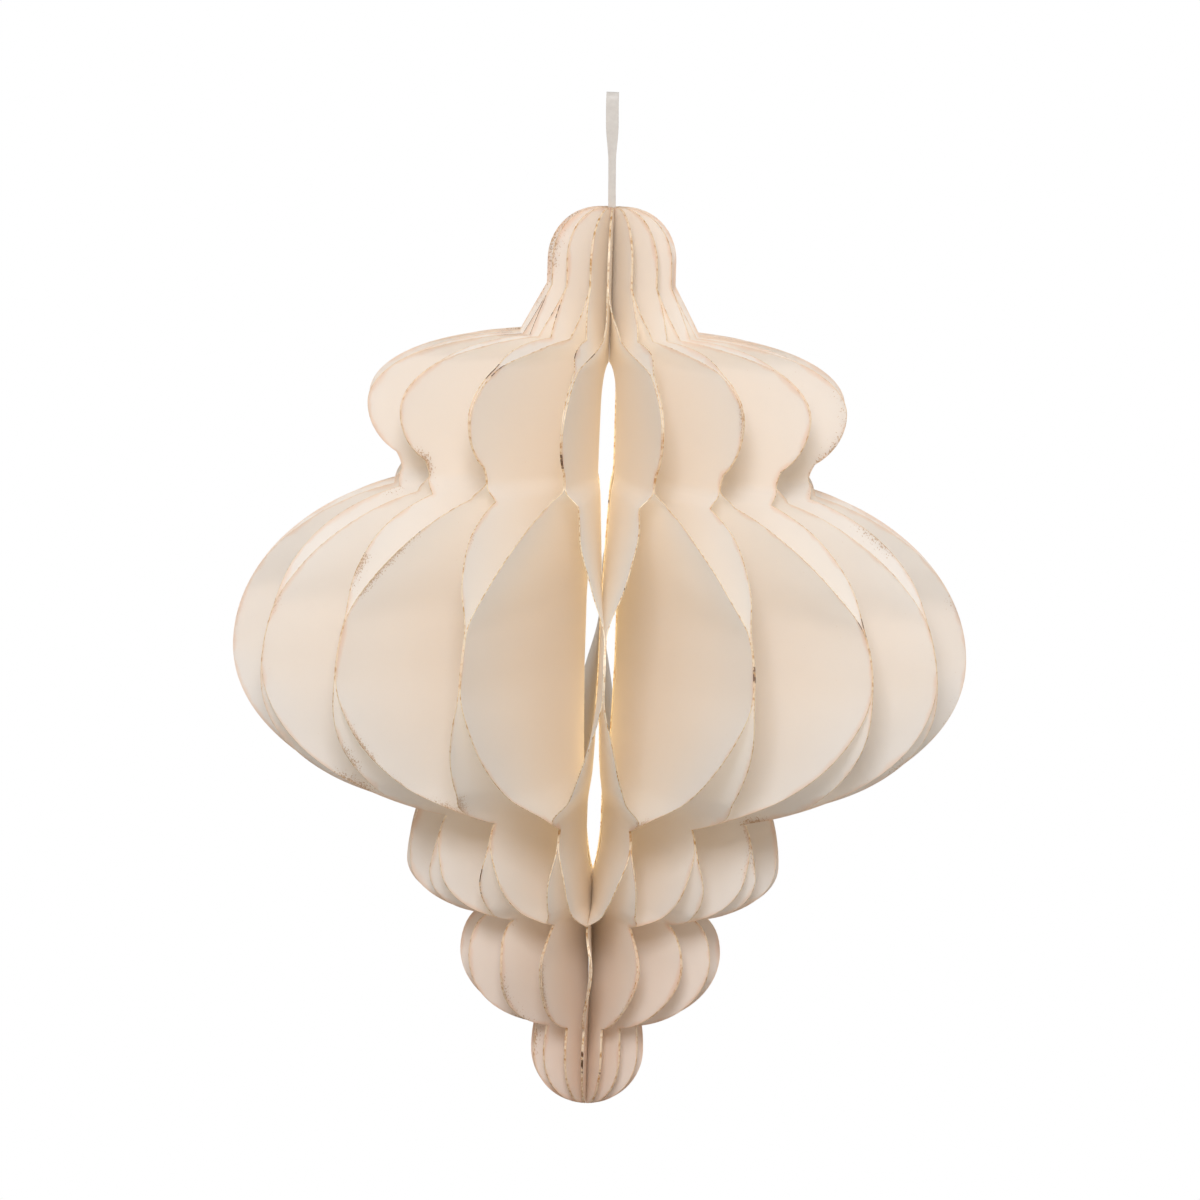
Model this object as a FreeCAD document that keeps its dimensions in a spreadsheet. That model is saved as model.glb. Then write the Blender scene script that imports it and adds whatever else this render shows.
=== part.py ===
"""Hanging honeycomb ornament of die-cut card, opened round into a full turn.

Thirty-two alike card leaves stand round a narrow open spine. Each leaf is glued to one neighbour at some
heights and to its other neighbour at the heights between, so its outer edge sways from side to side and the
leaves open into almond-shaped pockets. A flat ribbon loop rises out of the spine and carries the ornament.

The frame: Z is the spine with +Z up, and the origin is the hanging point, inside the top of the loop.
The side that faces a viewer is along -Y. Leaves are numbered from there towards +X.
"""

import FreeCAD, Part
import math
import os
from FreeCAD import Placement, Rotation, Vector

DRIVING_SIZES = (
    # the whole
    ("leaf_count", 32, "leaves in a full turn, an even number"),
    ("card_thickness", 0.4, "mm, thickness of the card"),
    ("loop_rise", 45.5, "mm, from the leaf tops up to the hanging point"),
    # the finial, from the leaf tops down
    ("crown_flat", 6.0, "mm, radius of the level top"),
    ("crown_radius", 25.5, "mm, radius of the finial"),
    ("crown_drop", 21.0, "mm, height of its rounded shoulder"),
    ("finial_wall", 9.8, "mm, height of its upright side"),
    ("collar_radius", 36.2, "mm, radius where the finial meets the upper lobe"),
    ("collar_height", 19.8, "mm, height of its flared foot"),
    # the upper lobe and the waist
    ("upper_radius", 96.9, "mm, radius of the upper lobe"),
    ("upper_rise", 28.1, "mm, from its tip up to the collar"),
    ("upper_rise_inset", 7.9, "mm, from the collar's edge in to the centre of the lobe's upper curve"),
    ("upper_drop", 20.1, "mm, from its tip down to the waist"),
    ("upper_drop_inset", 17.4, "mm, from the waist in to the centre of the lobe's lower curve"),
    ("waist_inset", 14.5, "mm, depth of the waist below the upper lobe's tip"),
    ("waist_height", 13.1, "mm, height of the rounded waist"),
    ("waist_round", 2.3, "mm, depth of its rounding"),
    # the belly
    ("belly_radius", 146.6, "mm, radius of the belly"),
    ("belly_rise", 67.0, "mm, from its tip up to the waist"),
    ("belly_rise_inset", 32.5, "mm, from the waist in to the centre of its upper curve"),
    ("belly_drop", 61.9, "mm, from its tip down to the first tier"),
    ("belly_drop_inset", 37.4, "mm, from the neck below in to the centre of its lower curve"),
    # the three tiers below it
    ("first_radius", 75.0, "mm, radius of the first tier"),
    ("first_lip", 4.4, "mm, how far its tip stands out beyond its neck"),
    ("first_rise", 21.0, "mm, from its tip up to its neck"),
    ("first_drop", 21.2, "mm, from its tip down to the next neck"),
    ("first_rise_inset", 2.0, "mm, from its neck in to the centre of its upper curve"),
    ("first_drop_inset", 7.4, "mm, from the neck below in to the centre of its lower curve"),
    ("second_radius", 52.0, "mm, radius of the second tier"),
    ("second_lip", 7.7, "mm, how far its tip stands out beyond its neck"),
    ("second_rise", 16.3, "mm, from its tip up to its neck"),
    ("second_drop", 28.5, "mm, from its tip down to the next neck"),
    ("second_rise_inset", 3.1, "mm, from its neck in to the centre of its upper curve"),
    ("second_drop_inset", 7.0, "mm, from the neck below in to the centre of its lower curve"),
    ("drop_radius", 22.5, "mm, radius of the lowest tier"),
    ("drop_lip", 1.0, "mm, how far its tip stands out beyond its neck"),
    ("drop_rise", 11.2, "mm, from its tip up to its neck"),
    ("drop_height", 22.0, "mm, from its tip down to the leaf ends"),
    ("drop_inset", 1.5, "mm, from its neck in to the centre of its upper curve"),
    # the spine
    ("spine_gap", 0.3, "mm, from the radius where the leaves meet out to their bound inner edges"),
    ("hollow_radius", 17.0, "mm, radius of the open spine at mid height"),
    ("hollow_end", 15.0, "mm, height over which the spine opens to that radius"),
    ("bound_top", 62.0, "mm, bound length of the inner edge at the top"),
    ("bound_bottom", 96.0, "mm, bound length of the inner edge at the bottom"),
    # gluing and cutting
    ("belly_spot", 20.0, "mm, height of the glue spot at the belly"),
    ("belly_spot_rise", 11.0, "mm, height of that spot's middle above the belly's tip"),
    ("cut_sag", 0.75, "mm, most that a straight cut stands inside a round outline"),
    # the ribbon
    ("ribbon_width", 5.0, "mm, width of the ribbon"),
    ("ribbon_thickness", 0.35, "mm, thickness of the ribbon"),
    ("ribbon_gathered", 3.0, "mm, width where it is gathered into the spine"),
    ("ribbon_bend", 2.4, "mm, inside radius of the bend at the top of the loop"),
    ("ribbon_flat", 12.5, "mm, from the hanging point down to where it starts to narrow"),
    ("ribbon_taper", 15.5, "mm, height over which it narrows"),
    ("ribbon_leg_gap", 1.7, "mm, between its two legs in the spine"),
    ("ribbon_tail", 15.0, "mm, length of each leg held inside the spine"),
)

doc = FreeCAD.newDocument("HoneycombOrnament")
sheet = doc.addObject("Spreadsheet::Sheet", "Sizes")
for row, (alias, value, meaning) in enumerate(DRIVING_SIZES, start=1):
    sheet.set(f"A{row}", alias)
    sheet.set(f"B{row}", str(value))
    sheet.set(f"C{row}", meaning)
    sheet.setAlias(f"B{row}", alias)
doc.recompute()


def size(alias):
    """The value of a driving size, from the sheet."""
    return float(sheet.get(alias))


leaf_count = int(size("leaf_count"))
half_pitch = math.radians(180.0 / leaf_count)
card_thickness = size("card_thickness")
# the faces of two neighbouring leaves, each at its own side of its sector, meet at this radius
meeting_radius = card_thickness / 2 / math.tan(half_pitch)
bound_radius = meeting_radius + size("spine_gap")

LEVELS_DOWN = (
    ("crown", "crown_drop"),
    ("finial_foot", "finial_wall"),
    ("collar", "collar_height"),
    ("upper", "upper_rise"),
    ("waist_top", "upper_drop"),
    ("waist_end", "waist_height"),
    ("belly", "belly_rise"),
    ("first_neck", "belly_drop"),
    ("first", "first_rise"),
    ("second_neck", "first_drop"),
    ("second", "second_rise"),
    ("drop_neck", "second_drop"),
    ("drop", "drop_rise"),
    ("end", "drop_height"),
)
level = {"top": -size("loop_rise")}
height = level["top"]
for name, alias in LEVELS_DOWN:
    height -= size(alias)
    level[name] = height


def quarter(neck, tip, inset):
    """Points of a quarter ellipse from a neck to the tip of its lobe, both included.

    Its centre is level with the tip, and lies inside the neck's radius by the inset. There are as many points
    as keep the straight cuts between them within the cutting sag.
    """
    centre = neck[0] - inset
    reach = tip[0] - centre
    start = math.acos(inset / reach)
    rise = (neck[1] - tip[1]) / math.sin(start)
    widest_step = 2 * math.acos(1 - size("cut_sag") / max(reach, abs(rise)))
    count = max(2, math.ceil(start / widest_step))
    turns = [start * (1 - i / count) for i in range(count + 1)]
    return [(centre + reach * math.cos(turn), tip[1] + rise * math.sin(turn)) for turn in turns]


def leaf_outline():
    """The die's outline as (radius, height) points: down the outer edge, then up the inner one."""
    waist_radius = size("upper_radius") - size("waist_inset")
    waist_edge = waist_radius + size("waist_round")
    crown_top = (size("crown_flat"), level["top"])
    crown = (size("crown_radius"), level["crown"])
    finial_foot = (size("crown_radius"), level["finial_foot"])
    collar = (size("collar_radius"), level["collar"])
    upper = (size("upper_radius"), level["upper"])
    waist_top = (waist_edge, level["waist_top"])
    waist_root_top = (waist_radius, level["waist_top"] - size("waist_height") / 3)
    waist_root_end = (waist_radius, level["waist_end"] + size("waist_height") / 3)
    waist_end = (waist_edge, level["waist_end"])
    belly = (size("belly_radius"), level["belly"])
    first_neck = (size("first_radius") - size("first_lip"), level["first_neck"])
    first = (size("first_radius"), level["first"])
    second_neck = (size("second_radius") - size("second_lip"), level["second_neck"])
    second = (size("second_radius"), level["second"])
    drop_neck = (size("drop_radius") - size("drop_lip"), level["drop_neck"])
    drop = (size("drop_radius"), level["drop"])
    end = (bound_radius, level["end"])
    hollow = size("hollow_radius")
    bound_low = (bound_radius, level["end"] + size("bound_bottom"))
    bound_high = (bound_radius, level["top"] - size("bound_top"))
    hollow_low = (hollow, bound_low[1] + size("hollow_end"))
    hollow_high = (hollow, bound_high[1] - size("hollow_end"))

    points = [(bound_radius, level["top"])]
    points += quarter(crown_top, crown, 0.0) + [finial_foot]
    points += quarter(collar, upper, size("upper_rise_inset"))
    points += quarter(waist_top, upper, size("upper_drop_inset"))[-2::-1]
    points += [waist_root_top, waist_root_end]
    points += quarter(waist_end, belly, size("belly_rise_inset"))
    points += quarter(first_neck, belly, size("belly_drop_inset"))[-2::-1]
    points += quarter(first_neck, first, size("first_rise_inset"))[1:]
    points += quarter(second_neck, first, size("first_drop_inset"))[-2::-1]
    points += quarter(second_neck, second, size("second_rise_inset"))[1:]
    points += quarter(drop_neck, second, size("second_drop_inset"))[-2::-1]
    points += quarter(drop_neck, drop, size("drop_inset"))[1:]
    points += quarter(end, drop, bound_radius)[-2::-1]
    points += quarter(bound_low, hollow_low, 0.0)
    points += quarter(bound_high, hollow_high, 0.0)[::-1]
    return points


def between(upper_level, lower_level, share):
    """The height that lies a share of the way down from one level to another."""
    return level[upper_level] + share * (level[lower_level] - level[upper_level])


# How far a leaf sways at each height, as a share of the way to where it meets a neighbour: -1 against the
# leaf before it and +1 against the leaf after it. Between glue spots the card bends in flat panels.
BEFORE, AFTER = -1.0, 1.0
belly_glue = level["belly"] + size("belly_spot_rise")
SWAY = (
    (level["top"], BEFORE),
    (level["finial_foot"], BEFORE),
    (level["collar"], 0.0),
    (between("collar", "upper", 0.35), 0.95),
    (level["waist_top"], AFTER),
    (between("waist_top", "waist_end", 0.5), AFTER),
    (level["waist_end"], 0.3),
    (between("waist_end", "belly", 0.4), -0.55),
    (belly_glue + size("belly_spot") / 2, BEFORE),
    (belly_glue - size("belly_spot") / 2, BEFORE),
    (between("belly", "first_neck", 0.3), -0.72),
    (between("belly", "first_neck", 0.72), -0.05),
    (between("belly", "first_neck", 0.95), AFTER),
    (between("first_neck", "first", 0.27), AFTER),
    (level["first"], 0.5),
    (between("first", "second_neck", 0.68), -0.05),
    (level["second_neck"], BEFORE),
    (level["end"], BEFORE),
)
card_reach = 1.03 * max(radius for radius, height in leaf_outline())


def card_edge_point(height, sway, side):
    """A point of one face of the uncut card's outer edge; side is -1 or +1 for the card's two faces."""
    middle = sway * (card_reach - meeting_radius) * math.tan(half_pitch)
    return Vector(card_reach, middle + side * card_thickness / 2, height)


def card_face(side):
    """One face of the swaying card: flat panels from the spine line out to the edge points."""
    panels = []
    for (high, high_sway), (low, low_sway) in zip(SWAY, SWAY[1:]):
        spine_high = Vector(meeting_radius, side * card_thickness / 2, high)
        spine_low = Vector(meeting_radius, side * card_thickness / 2, low)
        edge_high = card_edge_point(high, high_sway, side)
        edge_low = card_edge_point(low, low_sway, side)
        if high_sway == low_sway:
            corners = [[spine_high, edge_high, edge_low, spine_low]]
        elif abs(high_sway) > abs(low_sway):
            corners = [[spine_high, edge_high, spine_low], [spine_low, edge_high, edge_low]]
        else:
            corners = [[spine_high, edge_high, edge_low], [spine_high, edge_low, spine_low]]
        panels += [Part.Face(Part.makePolygon(loop + loop[:1])) for loop in corners]
    return panels


def card_rim():
    """The four narrow sides of the uncut card, between its two faces."""
    through = Vector(0, card_thickness, 0)
    heights = [point[0] for point in SWAY]
    spine = [Vector(meeting_radius, -card_thickness / 2, high) for high in heights]
    edge = [card_edge_point(high, sway, -1) for high, sway in SWAY]
    loop = spine + edge[::-1]
    sides = [Part.makeLine(a, b) for a, b in zip(loop, loop[1:] + loop[:1])]
    return [side.extrude(through) for side in sides]


def die_face():
    """The leaf's outline as a flat face in the XZ plane."""
    corners = [Vector(radius, 0, height) for radius, height in leaf_outline()]
    return Part.Face(Part.makePolygon(corners + corners[:1]))


def ribbon_side(thickness_out):
    """Half of one edge line of the ribbon's side view, from its foot to its tangent point on the bend.

    thickness_out is 0 for the inner line and the ribbon's thickness for the outer one.
    """
    bend = size("ribbon_bend") + thickness_out
    leg = size("ribbon_leg_gap") / 2 + thickness_out
    centre = -size("ribbon_bend")
    mouth = level["top"]
    lean = math.atan2(mouth - centre, leg)
    turn = lean + math.acos(bend / math.hypot(leg, mouth - centre))
    tangent = Vector(0, bend * math.cos(turn), centre + bend * math.sin(turn))
    return [Vector(0, leg, mouth - size("ribbon_tail")), Vector(0, leg, mouth), tangent]


def ribbon_band():
    """The ribbon's side view, two legs and the bend at the hanging point, as a flat face in the YZ plane."""
    def across(points):
        return [Vector(0, -point.y, point.z) for point in points]

    inner, outer = ribbon_side(0.0), ribbon_side(size("ribbon_thickness"))
    inner_top = Vector(0, 0, 0)
    outer_top = Vector(0, 0, size("ribbon_thickness"))
    edges = []
    for side, top in ((inner, inner_top), (outer, outer_top)):
        far = across(side)
        edges += [Part.makeLine(side[0], side[1]), Part.makeLine(side[1], side[2])]
        edges.append(Part.Arc(side[2], top, far[2]).toShape())
        edges += [Part.makeLine(far[2], far[1]), Part.makeLine(far[1], far[0])]
    edges.append(Part.makeLine(inner[0], outer[0]))
    edges.append(Part.makeLine(across(inner)[0], across(outer)[0]))
    return Part.Face(Part.Wire(Part.__sortEdges__(edges)))


def ribbon_front():
    """The ribbon's front view: full width over the hanging point, narrowing to its gathered width."""
    wide, narrow = size("ribbon_width") / 2, size("ribbon_gathered") / 2
    above = 2 * size("ribbon_thickness")
    narrow_from = -size("ribbon_flat") - size("ribbon_taper")
    below = level["top"] - 2 * size("ribbon_tail")
    right = [(wide, above), (wide, -size("ribbon_flat")), (narrow, narrow_from), (narrow, below)]
    corners = [Vector(x, 0, z) for x, z in right] + [Vector(-x, 0, z) for x, z in right[::-1]]
    return Part.Face(Part.makePolygon(corners + corners[:1]))


def drawn(name, shape):
    """A drawn or hand-built shape as an object of the document."""
    feature = doc.addObject("Part::Feature", name)
    feature.Shape = shape
    return feature


def padded(name, base, direction, length):
    """A flat face made solid, equally to both sides; the length is an expression on the sheet."""
    pad = doc.addObject("Part::Extrusion", name)
    pad.Base = base
    pad.DirMode = "Custom"
    pad.Dir = direction
    pad.Solid = True
    pad.Symmetric = True
    pad.setExpression("LengthFwd", length)
    return pad


def common(name, base, tool):
    """What two solids share."""
    shared = doc.addObject("Part::Common", name)
    shared.Base = base
    shared.Tool = tool
    return shared


# The card leaf: a flat card with its bends, cut to the outline by the die.
swaying_card = drawn("SwayingCard", Part.makeSolid(Part.makeShell(card_face(-1) + card_face(1) + card_rim())))
die = padded("Die", drawn("DieOutline", die_face()), Vector(0, 1, 0), "Sizes.belly_radius")
odd_leaf = common("OddLeaf", swaying_card, die)
even_leaf = doc.addObject("Part::Mirroring", "EvenLeaf")
even_leaf.Source = odd_leaf
even_leaf.Normal = Vector(0, 1, 0)

parts = []
for number in range(1, leaf_count + 1):
    leaf = doc.addObject("Part::Compound", f"Leaf{number:02d}")
    leaf.Label = f"leaf_{number:02d}"
    leaf.Links = [odd_leaf if number % 2 else even_leaf]
    azimuth = (number - 0.5) * 360.0 / leaf_count
    leaf.Placement = Placement(Vector(0, 0, 0), Rotation(Vector(0, 0, 1), azimuth - 90.0))
    parts.append(leaf)

# The ribbon loop: its side view and its front view, each made solid, share the ribbon itself.
band = padded("RibbonBand", drawn("RibbonSideView", ribbon_band()), Vector(1, 0, 0), "2 * Sizes.ribbon_width")
strip = padded("RibbonStrip", drawn("RibbonFrontView", ribbon_front()), Vector(0, 1, 0),
               "4 * (Sizes.ribbon_bend + Sizes.ribbon_thickness)")
ribbon = common("Ribbon", band, strip)
ribbon.Label = "hanging_ribbon"
parts.append(ribbon)

doc.recompute()
for item in doc.Objects:
    if "Invalid" in item.State or "Error" in item.State:
        raise RuntimeError(f"{item.Label} did not build: {item.State}")
for part in parts:
    shape = part.Shape
    if shape.isNull() or not shape.isValid() or len(shape.Solids) != 1:
        raise RuntimeError(f"{part.Label} is not one sound solid")

os.makedirs("parts", exist_ok=True)
for part in parts:
    part.Shape.exportStep(f"parts/{part.Label}.step")
top = ribbon.Shape.BoundBox.ZMax
print(f"{len(parts)} parts, from {level['end']:.1f} to {top:.2f} mm, leaf {parts[0].Shape.Volume:.0f} mm3")
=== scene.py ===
"""A hanging honeycomb ornament: thirty-two leaves of cream card round an open spine, on a satin ribbon loop.

The frame: Z is the spine with +Z up, the origin is the hanging point inside the top of the loop, and the front
is along -Y. Leaves are numbered from the front towards +X. All lengths are in metres.
"""

import math

import bmesh
import bpy
import numpy as np
from mathutils import Matrix, Vector


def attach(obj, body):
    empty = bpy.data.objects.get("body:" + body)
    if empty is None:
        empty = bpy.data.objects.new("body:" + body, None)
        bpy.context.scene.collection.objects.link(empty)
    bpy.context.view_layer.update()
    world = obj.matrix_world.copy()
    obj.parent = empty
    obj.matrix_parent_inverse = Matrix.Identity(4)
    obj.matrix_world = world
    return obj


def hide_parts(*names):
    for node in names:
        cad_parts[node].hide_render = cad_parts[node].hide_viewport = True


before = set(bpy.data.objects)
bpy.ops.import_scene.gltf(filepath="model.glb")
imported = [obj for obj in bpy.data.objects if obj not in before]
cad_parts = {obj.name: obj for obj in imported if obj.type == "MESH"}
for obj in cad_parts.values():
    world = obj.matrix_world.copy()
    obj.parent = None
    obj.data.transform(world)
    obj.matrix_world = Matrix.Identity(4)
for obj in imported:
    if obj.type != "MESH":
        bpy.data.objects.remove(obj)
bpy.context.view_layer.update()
MM = 0.001

# The camera: it stands well back with a long lens, a little above the ornament's middle. The ornament hangs a
# shade askew on its loop, which is the camera's roll.
camera_distance = 3.5
camera_elevation = math.radians(6.5)
camera_roll = math.radians(1.8)
look_at = Vector((-0.0005, 0.0, -0.203))
seen_width = 0.480

backward = Vector((0, -math.cos(camera_elevation), math.sin(camera_elevation)))
rightward = Vector((-math.sin(camera_roll), 0, math.cos(camera_roll))).cross(backward).normalized()
upward = backward.cross(rightward)
camera = bpy.data.objects.new("camera", bpy.data.cameras.new("camera"))
bpy.context.scene.collection.objects.link(camera)
camera.data.sensor_width = 36.0
camera.data.lens = camera.data.sensor_width * camera_distance / seen_width
camera.data.clip_start, camera.data.clip_end = 0.1, 50.0
camera.matrix_world = Matrix.Translation(look_at + backward * camera_distance) @ Matrix(
    (rightward, upward, backward)).transposed().to_4x4()
bpy.context.scene.camera = camera

# The hanging loop: one length of 5 mm white satin ribbon, woven, folded over flat at the top. Its two ends go
# down into the spine, where the leaves' bound edges hold them, and it is gathered narrower on the way.
ribbon_width, ribbon_gathered, ribbon_thickness = 5.0 * MM, 3.0 * MM, 0.35 * MM
ribbon_flat_to, ribbon_narrow_from = -12.5 * MM, -28.0 * MM
leaf_top = -45.5 * MM
ribbon_half_route = (
    (0.0, 1.03, -60.5), (-0.3, 1.03, -52.5), (-0.8, 1.1, -43.0), (-1.1, 1.6, -30.0), (-1.5, 2.3, -15.0),
    (-1.8, 2.62, -6.0), (-1.8, 2.62, 0.17),
)


def linear_colour(hex_text):
    """An sRGB hex colour as linear RGBA: c / 12.92 below 0.04045, else ((c + 0.055) / 1.055) ^ 2.4."""
    steps = [int(hex_text[i:i + 2], 16) / 255 for i in (1, 3, 5)]
    return tuple(c / 12.92 if c <= 0.04045 else ((c + 0.055) / 1.055) ** 2.4 for c in steps) + (1.0,)


def add_node(tree, kind, links=None, **settings):
    """Adds a node. A setting names a property or, with _ for a space, an input; links maps inputs to sockets."""
    node = tree.nodes.new(kind)
    for name, value in settings.items():
        if hasattr(node, name):
            setattr(node, name, value)
        else:
            node.inputs[int(name[1:]) if name[1:].isdigit() else name.replace("_", " ")].default_value = value
    for name, socket in (links or {}).items():
        tree.links.new(socket, node.inputs[name])
    return node


def new_material(name):
    """An empty node material with its Principled shader, returned with the tree and the shader."""
    material = bpy.data.materials.new(name)
    material.use_nodes = True
    tree = material.node_tree
    tree.nodes.clear()
    return material, tree, add_node(tree, "ShaderNodeBsdfPrincipled")


def satin_material():
    """White polyester satin: its floats run along the ribbon, and fine weft lines cross it every 0.4 mm."""
    material, tree, shader = new_material("woven satin ribbon")
    shader.inputs["Roughness"].default_value = 0.42
    shader.inputs["Sheen Weight"].default_value = 0.35
    shader.inputs["Sheen Roughness"].default_value = 0.4
    where = add_node(tree, "ShaderNodeTexCoord").outputs["UV"]
    stretch = add_node(tree, "ShaderNodeMapping", {"Vector": where}, Scale=(1 / (0.4 * MM), 1 / (5 * MM), 1))
    weft = add_node(tree, "ShaderNodeTexWave", {"Vector": stretch.outputs[0]}, bands_direction="X", Scale=0.32,
                    Distortion=0.6, Detail=2.0)
    mottle = add_node(tree, "ShaderNodeTexNoise", {"Vector": where}, Scale=420.0, Detail=3.0)
    shade = add_node(tree, "ShaderNodeMixRGB", {"Fac": mottle.outputs["Fac"]}, Color1=linear_colour("#DED3C6"),
                     Color2=linear_colour("#F6EDDF"))
    tree.links.new(shade.outputs[0], shader.inputs["Base Color"])
    bump = add_node(tree, "ShaderNodeBump", {"Height": weft.outputs["Fac"]}, Strength=0.35, Distance=0.05 * MM)
    tree.links.new(bump.outputs[0], shader.inputs["Normal"])
    add_node(tree, "ShaderNodeOutputMaterial", {"Surface": shader.outputs[0]})
    return material


def read_route(points):
    """The line of a NURBS spline of order 3 with these control points, as an array of points along it."""
    curve = bpy.data.curves.new("ribbon route", "CURVE")
    curve.dimensions = "3D"
    spline = curve.splines.new("NURBS")
    spline.points.add(len(points) - 1)
    spline.points.foreach_set("co", np.column_stack((points, np.ones(len(points)))).ravel())
    spline.order_u, spline.use_endpoint_u, spline.resolution_u = 3, True, 16
    holder = bpy.data.objects.new("ribbon route", curve)
    line = bpy.data.meshes.new_from_object(holder)
    along = np.empty(len(line.vertices) * 3)
    line.vertices.foreach_get("co", along)
    bpy.data.objects.remove(holder)
    bpy.data.curves.remove(curve)
    bpy.data.meshes.remove(line)
    return along.reshape(-1, 3)


def ribbon_mesh(line):
    """A flat band carried along the line: at each point, a flat oval section of the width there.

    Section: w/2 * s across, with s = sign(cos v) * |cos v|^0.35, and t/2 * sin v * (0.72 + 0.28 s^4) along the
    normal, which leaves the two selvedges a little thicker than the middle.
    """
    around = 28
    heading = np.gradient(line, axis=0)
    heading /= np.linalg.norm(heading, axis=1)[:, None]
    across = np.array((1.0, 0.0, 0.0))
    normal = np.cross(heading, across)
    narrow = np.clip((ribbon_flat_to - line[:, 2]) / (ribbon_flat_to - ribbon_narrow_from), 0, 1)
    narrow = narrow * narrow * (3 - 2 * narrow)
    width = ribbon_width + (ribbon_gathered - ribbon_width) * narrow
    v = np.arange(around) * 2 * np.pi / around
    side = np.sign(np.cos(v)) * np.abs(np.cos(v)) ** 0.35
    thick = np.sin(v) * (0.72 + 0.28 * side ** 4) * ribbon_thickness / 2
    # gathered, the band folds lengthwise into a shallow trough
    trough = narrow[:, None] * 0.25 * MM * (side[None, :] ** 2 - 0.5)
    points = (line[:, None, :] + (width[:, None] / 2 * side)[:, :, None] * across
              + (thick + trough)[:, :, None] * normal[:, None, :])
    rows, cols = points.shape[:2]
    index = np.arange(rows * cols).reshape(rows, cols)
    after = np.roll(index, -1, axis=1)
    faces = np.stack((index[:-1], index[1:], after[1:], after[:-1]), axis=-1).reshape(-1, 4).tolist()
    faces += [index[0].tolist(), index[-1, ::-1].tolist()]
    mesh = bpy.data.meshes.new("hanging_ribbon")
    mesh.from_pydata(points.reshape(-1, 3).tolist(), [], faces)
    along = np.concatenate(([0], np.cumsum(np.linalg.norm(np.diff(line, axis=0), axis=1))))
    layout = np.stack((np.repeat(along, cols), (width[:, None] / 2 * side).ravel()), axis=-1)
    corner = np.empty(len(mesh.loops), dtype=np.int32)
    mesh.loops.foreach_get("vertex_index", corner)
    mesh.uv_layers.new(name="UVMap").data.foreach_set("uv", layout[corner].ravel())
    mesh.polygons.foreach_set("use_smooth", np.ones(len(mesh.polygons), dtype=bool))
    mesh.update()
    return mesh


half_route = np.array(ribbon_half_route) * MM
ribbon_line = read_route(np.vstack((half_route, half_route[::-1] * (1, -1, 1))))
ribbon = bpy.data.objects.new("satin_ribbon_loop", ribbon_mesh(ribbon_line))
bpy.context.scene.collection.objects.link(ribbon)
ribbon.data.materials.append(satin_material())
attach(ribbon, "root")
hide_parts("hanging_ribbon")

# The leaves: die-cut sheets of cream card, 0.4 mm thick, with gold foil on the cut edges. Each is glued at some
# heights to the leaf before it and at the heights between to the leaf after it, so its edge sways.
leaf_count = 32
half_pitch = math.pi / leaf_count
card_thickness = 0.4 * MM
meeting_radius = card_thickness / 2 / math.tan(half_pitch)
bound_radius = meeting_radius + 0.3 * MM
hollow_radius, hollow_height = 17.0 * MM, 15.0 * MM
bound_top, bound_bottom = -107.5 * MM, -310.5 * MM
# Each lobe's quarter curves as (neck radius, neck height, tip radius, tip height, inset, points, whether it runs
# from the tip down to the neck), in mm, from the top down.
outline_curves = (
    (6.0, -45.5, 25.5, -66.5, 0.0, 14, False),
    (25.5, -66.5, 25.5, -76.3, None, 5, False),
    (25.5, -76.3, 36.2, -96.1, None, 8, False),
    (36.2, -96.1, 96.9, -124.2, 7.9, 30, False),
    (84.7, -144.3, 96.9, -124.2, 17.4, 12, True),
    (82.4, -150.85, 84.7, -144.3, None, 5, True),
    (84.7, -157.4, 82.4, -150.85, None, 5, True),
    (84.7, -157.4, 146.6, -224.4, 32.5, 34, False),
    (70.6, -286.3, 146.6, -224.4, 37.4, 36, True),
    (70.6, -286.3, 75.0, -307.3, 2.0, 9, False),
    (44.3, -328.5, 75.0, -307.3, 7.4, 16, True),
    (44.3, -328.5, 52.0, -344.8, 3.1, 9, False),
    (21.5, -373.3, 52.0, -344.8, 7.0, 18, True),
    (21.5, -373.3, 22.5, -384.5, 1.5, 7, False),
    (2.33, -406.5, 22.5, -384.5, 2.33, 16, True),
)


def curve_points(neck_radius, neck_height, tip_radius, tip_height, inset, count, tip_first):
    """A quarter ellipse: radius = c + reach * cos t, height = tip + rise * sin t, c = neck radius - inset.

    t runs from arccos(inset / reach) at the neck to 0 at the tip. With no inset given, the radius goes from
    neck to tip in a straight line, or as 1 - cos(share * pi / 2) where the curve runs from the tip down.
    """
    if inset is None:
        share = np.linspace(0, 1, count)
        bow = 1 - np.cos(share * np.pi / 2) if tip_first else share
        points = np.stack((neck_radius + (tip_radius - neck_radius) * bow,
                           neck_height + (tip_height - neck_height) * share), axis=-1)
    else:
        centre = neck_radius - inset
        reach = tip_radius - centre
        start = np.arccos(inset / reach)
        rise = (neck_height - tip_height) / np.sin(start)
        t = np.linspace(start, 0, count)
        points = np.stack((centre + reach * np.cos(t), tip_height + rise * np.sin(t)), axis=-1)
    return points[::-1] if tip_first else points


def leaf_outline():
    """The outer edge of a leaf from the top down, as (radius, height) points without doubles."""
    rows = [np.array([(bound_radius / MM, leaf_top / MM)])]
    rows += [curve_points(*curve) for curve in outline_curves]
    line = np.vstack(rows) * MM
    apart = np.linalg.norm(np.diff(line, axis=0), axis=1) > 0.01 * MM
    return line[np.concatenate(([True], apart))]


outline = leaf_outline()


def inner_edge(height):
    """Radius of a leaf's inner edge: bound at both ends, and hollowed between them by quarter ellipses."""
    def shoulder(depth):
        part = np.clip(depth / hollow_height, 0, 1)
        return bound_radius + (hollow_radius - bound_radius) * np.sqrt(1 - (1 - part) ** 2)
    return np.minimum(shoulder(bound_top - height), shoulder(height - bound_bottom))


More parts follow.
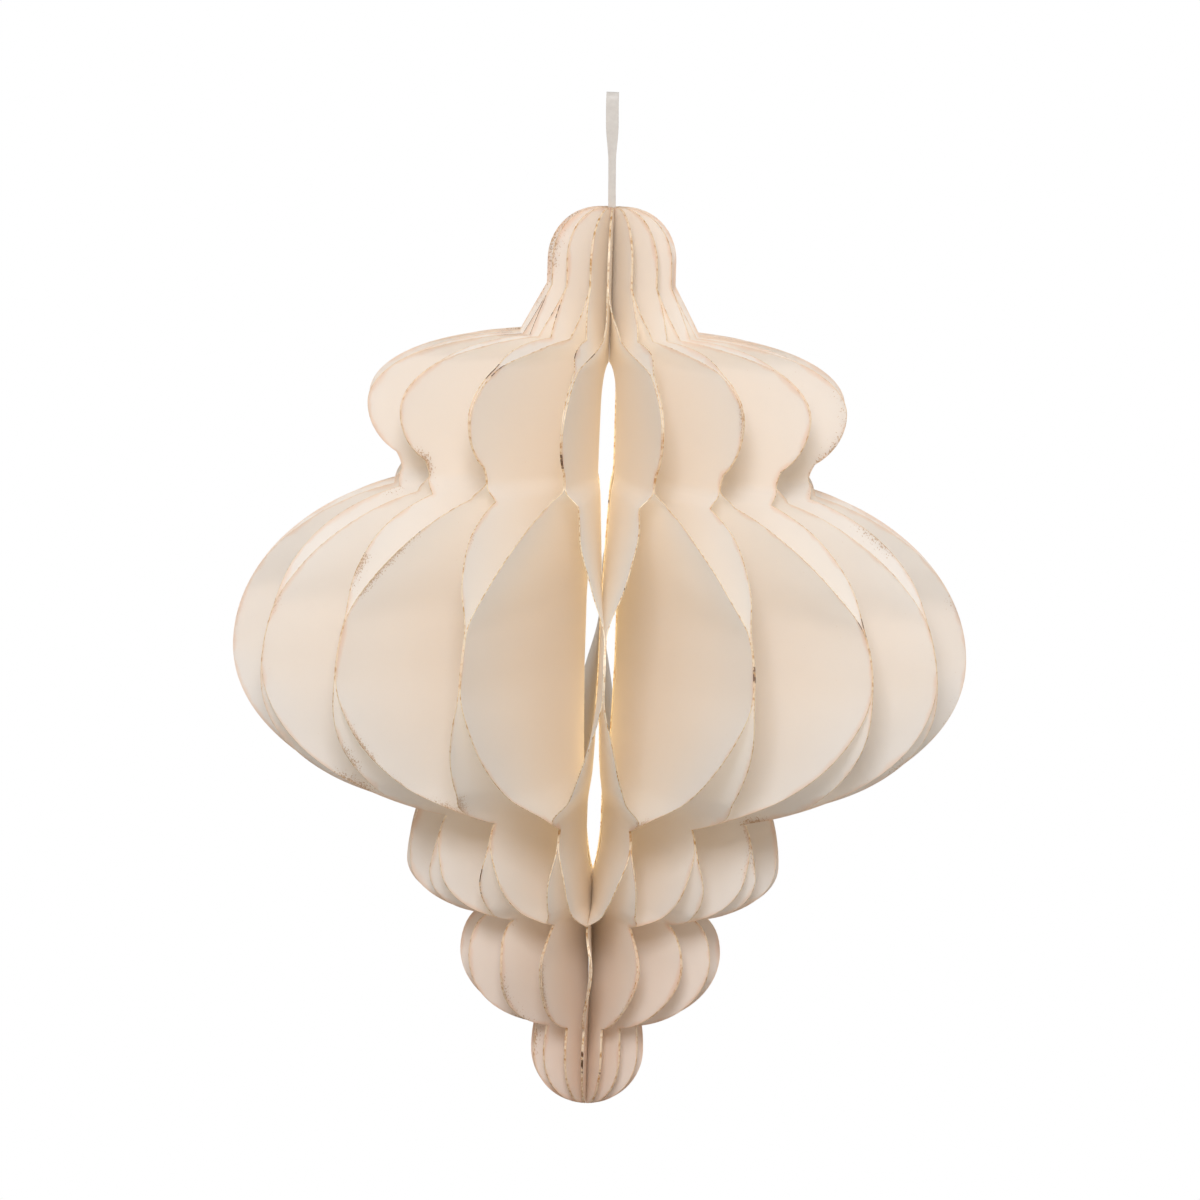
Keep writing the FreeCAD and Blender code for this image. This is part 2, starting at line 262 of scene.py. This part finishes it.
def through(stations, values, where):
    """A smooth line through values at rising stations, without overshoot.

    Between two stations it is the cubic Hermite curve h00 a + h10 w ma + h01 b + h11 w mb. The slope at a
    station is the harmonic mean of the slopes beside it, and 0 at a turn.
    """
    width = np.diff(stations)
    secant = np.diff(values) / width
    before, after = secant[:-1], secant[1:]
    same = before * after > 0
    slope = np.zeros_like(values)
    slope[1:-1] = np.where(same, 2 * before * after / np.where(same, before + after, 1), 0)
    i = np.clip(np.searchsorted(stations, where) - 1, 0, len(width) - 1)
    w = width[i]
    t = np.clip((where - stations[i]) / w, 0, 1)
    return ((1 + 2 * t) * (1 - t) ** 2 * values[i] + t * (1 - t) ** 2 * w * slope[i]
            + t * t * (3 - 2 * t) * values[i + 1] + t * t * (t - 1) * w * slope[i + 1])


# How far an odd leaf sways at each height in mm: -1 is against the leaf before it, 1 against the one after it.
sway_stations = np.array((
    (-406.5, -1.0), (-344.8, -0.97), (-328.5, -1.0), (-321.7, -0.05), (-307.3, 0.5), (-292.0, 1.0),
    (-283.3, 1.0), (-269.0, -0.05), (-243.0, -0.72), (-223.4, -1.0), (-203.4, -1.0), (-184.2, -0.55),
    (-168.0, -0.06), (-157.4, 0.3), (-150.85, 1.0), (-144.3, 1.0), (-106.0, 0.95), (-96.1, 0.0), (-76.3, -1.0),
    (-45.5, -1.0)))


def sway(height):
    """An odd leaf's sway at a height."""
    return through(sway_stations[:, 0] * MM, sway_stations[:, 1], height)


# Where the glued pairs really stand, in degrees off their even places. Each row is a height in mm, the azimuth
# of its first pair (the pairs go on by 22.5 degrees towards +X), the pairs seen in front, negative ones on the
# left, and the usual offset of the others, which scatter about it.
pair_scatter = 0.9
pair_rows = (
    (-382.0, 0.0, {0: -4.7, 1: -8.3, 2: -10.0, -1: -0.5}, -5.0),
    (-345.0, 0.0, {0: 0.6, 1: -0.8, -1: 0.5}, 0.0),
    (-329.0, 0.0, {0: -1.9, 1: -2.4, -1: 3.0}, -1.0),
    (-288.0, 11.25, {0: 0.3, -1: 0.3}, 0.0),
    (-213.0, 0.0, {0: 0.8, 1: 1.7, 2: 1.6, 3: -2.7, -1: 1.2, -2: 0.8, -3: 2.9}, 0.0),
    (-147.0, 11.25, {0: 2.2, -1: 0.3}, 0.0),
    (-95.0, 0.0, {0: 1.5, -1: 3.0, 1: 0.5}, 0.0),
    (-75.0, 0.0, {0: -3.0, 1: -4.0, -1: 3.5}, 0.0),
    (-50.0, 0.0, {0: -3.0, 1: -4.0, -1: 3.5}, 0.0),
)
pair_count = leaf_count // 2
draw = np.random.default_rng(32)
pair_offsets = np.array([
    [given.get(k if k < pair_count // 2 else k - pair_count, usual + draw.normal(0, pair_scatter))
     for k in range(pair_count)]
    for _, _, given, usual in pair_rows])


def turned(azimuth, height):
    """The azimuth that a point really stands at: its own plus the pair offsets round it.

    Round the spine the offset goes from pair to pair as a half cosine; over the height it goes smoothly
    through the rows. All leaves turn by the same rule, so that glued leaves stay together.
    """
    pitch = 2 * np.pi / pair_count
    rows = []
    for (_, first, _, _), offsets in zip(pair_rows, pair_offsets):
        place = (azimuth - math.radians(first)) / pitch
        k = np.floor(place).astype(int)
        share = (1 - np.cos((place - k) * np.pi)) / 2
        rows.append(offsets[k % pair_count] * (1 - share) + offsets[(k + 1) % pair_count] * share)
    rows = np.stack(rows)
    stations = np.array([row[0] for row in pair_rows]) * MM
    i = np.clip(np.searchsorted(stations, height) - 1, 0, len(stations) - 2)
    t = np.clip((height - stations[i]) / (stations[i + 1] - stations[i]), 0, 1)
    t = t * t * (3 - 2 * t)
    low = np.take_along_axis(rows, i[None], axis=0)[0]
    high = np.take_along_axis(rows, i[None] + 1, axis=0)[0]
    return azimuth + np.radians(low * (1 - t) + high * t)


rim_steps = np.array((0.0, 0.35, 0.9, 1.8, 3.5, 7.0)) * MM
rim_share = 0.3
body_steps = 9


def leaf_grid():
    """A face's points as two arrays, radius and height, of one row per outline point.

    In a row the radius runs from the inner edge out to the outline: evenly, and then by the rim steps, which
    take up no more than their share of a short row.
    """
    inner = np.minimum(inner_edge(outline[:, 1]), outline[:, 0])
    length = outline[:, 0] - inner
    near = np.minimum(rim_steps[None, ::-1], length[:, None] * np.linspace(rim_share, 0, len(rim_steps))[None, :])
    start = (length - near[:, 0])[:, None]
    body = start * np.linspace(0, 1, body_steps, endpoint=False)[None, :]
    radius = inner[:, None] + np.hstack((body, length[:, None] - near))
    return radius, np.repeat(outline[:, 1:2], radius.shape[1], axis=1)


grid_radius, grid_height = leaf_grid()


def distance_to_rim(radius, height):
    """The shortest way in the leaf's plane from each point to the outline's segments."""
    a, b = outline[:-1], outline[1:]
    p = np.stack((radius, height), axis=-1)[..., None, :]
    run = b - a
    t = np.clip(((p - a) * run).sum(-1) / (run ** 2).sum(-1), 0, 1)
    return np.linalg.norm(p - a - t[..., None] * run, axis=-1).min(-1)


rim_distance = distance_to_rim(grid_radius, grid_height)
rim_run = np.concatenate(([0], np.cumsum(np.linalg.norm(np.diff(outline, axis=0), axis=1))))
# the card cockles near its rim, less and less towards the stiff drop
cockle_height, cockle_reach, cockle_fade = 0.1 * MM, 9 * MM, 60 * MM
cockle_lengths = (5.2, 8.3, 13.7)
# glued leaves stop just short of one another, and swayed points keep nearly the radius they were cut at
touching, stretch_limit = 0.995, 0.2 * MM


def leaf_surface(number, side, phase):
    """One face of a leaf: x, y and z over the grid, at half the card's thickness to one side (-1 or 1).

    Round the spine, a point stands at its leaf's azimuth plus atan(offset / r), where the offset is sway *
    (r - meeting radius) * tan(half pitch) plus the cockle: height * exp(-distance to the rim / reach) times the
    sum of three waves sin(run / length + phase), and none at the glue spots.
    """
    hand = 1 if number % 2 else -1
    lean = hand * sway(grid_height)
    wave = sum(np.sin(rim_run[:, None] / (length * MM) + p) for length, p in zip(cockle_lengths, phase))
    cockle = cockle_height * wave * np.exp(-rim_distance / cockle_reach) * (1 - lean ** 2) ** 0.5
    cockle *= np.clip((rim_run[-1] - rim_run[:, None]) / cockle_fade, 0, 1)
    offset = lean * (grid_radius - meeting_radius) * math.tan(half_pitch) * touching + cockle
    offset = offset + side * card_thickness / 2
    radius = np.hypot(grid_radius, offset)
    radius = np.minimum(radius, grid_radius + stretch_limit)
    azimuth = (number - 0.5) * 2 * half_pitch + np.arctan2(offset, grid_radius)
    azimuth = turned(azimuth, grid_height)
    return np.stack((radius * np.sin(azimuth), -radius * np.cos(azimuth), grid_height), axis=-1)


def leaf_mesh(number):
    """A closed leaf: its two faces, and the narrow rim that joins them round the whole outline."""
    phase = draw.uniform(0, 2 * np.pi, 3)
    low, high = leaf_surface(number, -1, phase), leaf_surface(number, 1, phase)
    rows, cols = grid_radius.shape
    index = np.arange(rows * cols).reshape(rows, cols)
    quads = np.stack((index[:-1, :-1], index[:-1, 1:], index[1:, 1:], index[1:, :-1]), axis=-1).reshape(-1, 4)
    ring = np.concatenate((index[0, :-1], index[:-1, -1], index[-1, :0:-1], index[:0:-1, 0]))
    after = np.roll(ring, -1)
    upper = rows * cols
    rim = np.stack((ring, ring + upper, after + upper, after), axis=-1)
    faces = np.vstack((quads, quads[:, ::-1] + upper, rim))
    kinds = np.concatenate((np.zeros(2 * len(quads), dtype=int), np.ones(len(rim), dtype=int)))
    mesh = bpy.data.meshes.new(f"leaf_{number:02d}")
    mesh.from_pydata(np.vstack((low.reshape(-1, 3), high.reshape(-1, 3))).tolist(), [], faces.tolist())
    mesh.polygons.foreach_set("material_index", kinds)
    mesh.polygons.foreach_set("use_smooth", np.ones(len(faces), dtype=bool))
    layout = np.stack((np.repeat(rim_run, cols), rim_distance.ravel()), axis=-1)
    layout = np.vstack((layout, layout))
    corner = np.empty(len(mesh.loops), dtype=np.int32)
    mesh.loops.foreach_get("vertex_index", corner)
    mesh.uv_layers.new(name="UVMap").data.foreach_set("uv", layout[corner].ravel())
    tidy = bmesh.new()
    tidy.from_mesh(mesh)
    bmesh.ops.remove_doubles(tidy, verts=tidy.verts, dist=0.002 * MM)
    bmesh.ops.dissolve_degenerate(tidy, edges=tidy.edges, dist=0.001 * MM)
    bmesh.ops.recalc_face_normals(tidy, faces=tidy.faces)
    for edge in tidy.edges:
        kinds_beside = {face.material_index for face in edge.link_faces}
        edge.smooth = len(kinds_beside) < 2
    tidy.to_mesh(mesh)
    tidy.free()
    mesh.update()
    return mesh


def card_material():
    """Cream card: uncoated, matt and softly mottled, peach near its rims and flecked with foil in places, with
    painted shade as a peach tint over the bottom lobes.
    """
    material, tree, shader = new_material("cream die-cut card")
    shader.inputs["Roughness"].default_value = 0.82
    shader.inputs["Specular IOR Level"].default_value = 0.25
    here = add_node(tree, "ShaderNodeTexCoord")
    cloud = add_node(tree, "ShaderNodeTexNoise", {"Vector": here.outputs["Object"]}, Scale=28.0, Detail=3.0)
    shade = add_node(tree, "ShaderNodeMixRGB", {"Fac": cloud.outputs["Fac"]}, Color1=linear_colour("#FEF9F2"),
                     Color2=linear_colour("#FFFCF8"))
    # the peach size of the foil has crept in from the rim, by 0.3 to 3 mm
    rim = add_node(tree, "ShaderNodeSeparateXYZ", {"Vector": here.outputs["UV"]})
    patch = add_node(tree, "ShaderNodeTexNoise", {"Vector": here.outputs["Object"]}, Scale=75.0, Detail=4.0)
    reach = add_node(tree, "ShaderNodeMapRange", {"Value": patch.outputs["Fac"]}, From_Min=0.4, From_Max=0.72,
                     To_Min=0.3 * MM, To_Max=3.0 * MM)
    share = add_node(tree, "ShaderNodeMath", {0: rim.outputs["Y"], 1: reach.outputs[0]}, operation="DIVIDE")
    stain_and_painted_shade = add_node(tree, "ShaderNodeMapRange", {"Value": share.outputs[0]}, From_Min=0.0, From_Max=1.0,
                     To_Min=0.5, To_Max=0.0)
    # painted shade: a peach tint over the small bottom lobes, strongest at the bottom and gone by 290 mm, darkens
    # and warms them as the shade under the belly would
    place = add_node(tree, "ShaderNodeSeparateXYZ", {"Vector": here.outputs["Object"]})
    low = add_node(tree, "ShaderNodeMapRange", {"Value": place.outputs["Z"]}, From_Min=-385.0 * MM,
                   From_Max=-290.0 * MM, To_Min=0.11, To_Max=0.0)
    # the painted shade of the bottom lobes is added to the rim stain here
    stain_and_painted_shade = add_node(tree, "ShaderNodeMath", {0: stain_and_painted_shade.outputs[0], 1: low.outputs[0]}, operation="ADD")
    with_stain_and_painted_shade = add_node(tree, "ShaderNodeMixRGB", {"Fac": stain_and_painted_shade.outputs[0], "Color1": shade.outputs[0]},
                       Color2=linear_colour("#F8CBA4"))
    # here and there a fleck of foil has rubbed off on the face, within 5 mm of the rim
    speck = add_node(tree, "ShaderNodeTexNoise", {"Vector": here.outputs["Object"]}, Scale=1500.0, Detail=2.0)
    where_worn = add_node(tree, "ShaderNodeTexNoise", {"Vector": here.outputs["Object"]}, Scale=24.0, Detail=1.0)
    near = add_node(tree, "ShaderNodeMapRange", {"Value": rim.outputs["Y"]}, From_Min=0.0, From_Max=5.0 * MM,
                    To_Min=1.0, To_Max=0.0)
    worn = add_node(tree, "ShaderNodeMapRange", {"Value": where_worn.outputs["Fac"]}, From_Min=0.58, From_Max=0.7,
                    To_Min=0.0, To_Max=0.34)
    chance = add_node(tree, "ShaderNodeMath", {0: near.outputs[0], 1: worn.outputs[0]}, operation="MULTIPLY")
    chance = add_node(tree, "ShaderNodeMath", {0: chance.outputs[0], 1: speck.outputs["Fac"]}, operation="ADD")
    fleck = add_node(tree, "ShaderNodeMapRange", {"Value": chance.outputs[0]}, From_Min=0.76, From_Max=0.8,
                     To_Min=0.0, To_Max=0.85)
    flecked = add_node(tree, "ShaderNodeMixRGB", {"Fac": fleck.outputs[0], "Color1": with_stain_and_painted_shade.outputs[0]},
                       Color2=linear_colour("#B98E56"))
    tree.links.new(flecked.outputs[0], shader.inputs["Base Color"])
    fibre = add_node(tree, "ShaderNodeTexNoise", {"Vector": here.outputs["Object"]}, Scale=900.0, Detail=4.0)
    bump = add_node(tree, "ShaderNodeBump", {"Height": fibre.outputs["Fac"]}, Strength=0.25, Distance=0.08 * MM)
    tree.links.new(bump.outputs[0], shader.inputs["Normal"])
    # the card lets nearly half of the light through, which fills the pockets between the leaves
    glow = add_node(tree, "ShaderNodeBsdfTranslucent", {"Normal": bump.outputs[0]}, Color=linear_colour("#FFFCF7"))
    sheet = add_node(tree, "ShaderNodeMixShader", {1: shader.outputs[0], 2: glow.outputs[0]}, _0=0.44)
    add_node(tree, "ShaderNodeOutputMaterial", {"Surface": sheet.outputs[0]})
    return material


def foil_material():
    """Pale gold hot foil on the cut edge: whole for the most part, crazed, and in some stretches cracked brown."""
    material, tree, shader = new_material("gold foiled edge")
    shader.inputs["Metallic"].default_value = 0.35
    shader.inputs["Roughness"].default_value = 0.45
    here = add_node(tree, "ShaderNodeTexCoord")
    craze = add_node(tree, "ShaderNodeTexNoise", {"Vector": here.outputs["Object"]}, Scale=520.0, Detail=3.0)
    tones = add_node(tree, "ShaderNodeValToRGB", {"Fac": craze.outputs["Fac"]})
    tones.color_ramp.elements[0].position, tones.color_ramp.elements[0].color = 0.32, linear_colour("#D3AB6E")
    tones.color_ramp.elements[1].position, tones.color_ramp.elements[1].color = 0.52, linear_colour("#FBEFD6")
    stretch = add_node(tree, "ShaderNodeTexNoise", {"Vector": here.outputs["Object"]}, Scale=38.0, Detail=1.0)
    bad = add_node(tree, "ShaderNodeMapRange", {"Value": stretch.outputs["Fac"]}, From_Min=0.58, From_Max=0.7,
                   To_Min=-0.3, To_Max=0.2)
    bad = add_node(tree, "ShaderNodeMath", {0: bad.outputs[0], 1: craze.outputs["Fac"]}, operation="ADD")
    crack = add_node(tree, "ShaderNodeMapRange", {"Value": bad.outputs[0]}, From_Min=0.56, From_Max=0.64)
    broken = add_node(tree, "ShaderNodeMixRGB", {"Fac": crack.outputs[0], "Color1": tones.outputs[0]},
                      Color2=linear_colour("#5E3F1E"))
    tree.links.new(broken.outputs[0], shader.inputs["Base Color"])
    # the light inside the sheet comes out through the thin foil
    glow = add_node(tree, "ShaderNodeBsdfTranslucent", {"Color": broken.outputs[0]})
    edge = add_node(tree, "ShaderNodeMixShader", {1: shader.outputs[0], 2: glow.outputs[0]}, _0=0.5)
    add_node(tree, "ShaderNodeOutputMaterial", {"Surface": edge.outputs[0]})
    return material


card, foil = card_material(), foil_material()
for number in range(1, leaf_count + 1):
    leaf = bpy.data.objects.new(f"card_leaf_{number:02d}", leaf_mesh(number))
    bpy.context.scene.collection.objects.link(leaf)
    leaf.data.materials.append(card)
    leaf.data.materials.append(foil)
    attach(leaf, "root")
    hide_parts(f"leaf_{number:02d}")

# The room: a grey floor well below the ornament, white surroundings that are brighter overhead, and two broad
# soft lamps, one high in front and one above.
floor_radius, floor_height, floor_corners = 2.4, -1.3, 96
turn = np.arange(floor_corners) * 2 * np.pi / floor_corners
rim_of_floor = np.stack((floor_radius * np.cos(turn), floor_radius * np.sin(turn),
                         np.full(floor_corners, floor_height)), axis=-1)
floor_mesh = bpy.data.meshes.new("floor")
floor_mesh.from_pydata(rim_of_floor.tolist(), [], [list(range(floor_corners))])
floor = bpy.data.objects.new("floor", floor_mesh)
bpy.context.scene.collection.objects.link(floor)
floor_material, floor_tree, floor_shader = new_material("grey matt floor")
floor_shader.inputs["Base Color"].default_value = linear_colour("#C4C0BA")
floor_shader.inputs["Roughness"].default_value = 0.9
add_node(floor_tree, "ShaderNodeOutputMaterial", {"Surface": floor_shader.outputs[0]})
floor.data.materials.append(floor_material)

daylight = linear_colour("#F5F8FF")
world = bpy.data.worlds.new("white room")
world.use_nodes = True
bpy.context.scene.world = world
room = world.node_tree
room.nodes.clear()
# the surroundings are white to look at and in reflections, and dimmer as a light
path = add_node(room, "ShaderNodeLightPath")
seen = add_node(room, "ShaderNodeMath", {0: path.outputs["Is Camera Ray"], 1: path.outputs["Is Glossy Ray"]},
                operation="MAXIMUM")
seen = add_node(room, "ShaderNodeMath", {0: seen.outputs[0], 1: path.outputs["Is Transmission Ray"]},
                operation="MAXIMUM")
heading = add_node(room, "ShaderNodeTexCoord")
heading = add_node(room, "ShaderNodeSeparateXYZ", {"Vector": heading.outputs["Generated"]})
level = add_node(room, "ShaderNodeMapRange", {"Value": heading.outputs["Z"]}, From_Min=-0.7, From_Max=0.7,
                 To_Min=0.18, To_Max=0.36)
soft = add_node(room, "ShaderNodeBackground", {"Strength": level.outputs[0]}, Color=daylight)
white = add_node(room, "ShaderNodeBackground", Strength=1.0, Color=(1.0, 1.0, 1.0, 1.0))
both = add_node(room, "ShaderNodeMixShader", {0: seen.outputs[0], 1: soft.outputs[0], 2: white.outputs[0]})
add_node(room, "ShaderNodeOutputWorld", {"Surface": both.outputs[0]})
ornament_middle = Vector((0, 0, -0.21))


def soft_lamp(name, place, width, watts):
    """A square soft box that faces the ornament's middle."""
    lamp = bpy.data.objects.new(name, bpy.data.lights.new(name, "AREA"))
    lamp.data.shape, lamp.data.size, lamp.data.energy = "SQUARE", width, watts
    lamp.data.color = daylight[:3]
    lamp.location = place
    lamp.rotation_euler = (Vector(place) - ornament_middle).to_track_quat("Z", "Y").to_euler()
    bpy.context.scene.collection.objects.link(lamp)


soft_lamp("front", (-0.15, -3.0, 1.1), 0.8, 54.0)
soft_lamp("above", (0.0, -0.7, 1.8), 1.6, 3.0)
# the warm light that gathers in the open spine: a row of small lamps, out of the camera's sight, every 17 mm
for height in range(-125, -300, -17):
    spine_glow = bpy.data.objects.new("spine glow", bpy.data.lights.new("spine glow", "POINT"))
    spine_glow.data.energy, spine_glow.data.shadow_soft_size = 0.006, 11.0 * MM
    spine_glow.data.color = (1.0, 0.86, 0.55)
    spine_glow.location = (0.0, 0.0, height * MM)
    spine_glow.visible_camera = False
    bpy.context.scene.collection.objects.link(spine_glow)

bpy.context.scene.view_settings.view_transform = "Standard"
# pale leaves pass light on from one to the next many times before it comes out of a pocket
bpy.context.scene.cycles.max_bounces = 24
bpy.context.scene.cycles.diffuse_bounces = bpy.context.scene.cycles.transmission_bounces = 16
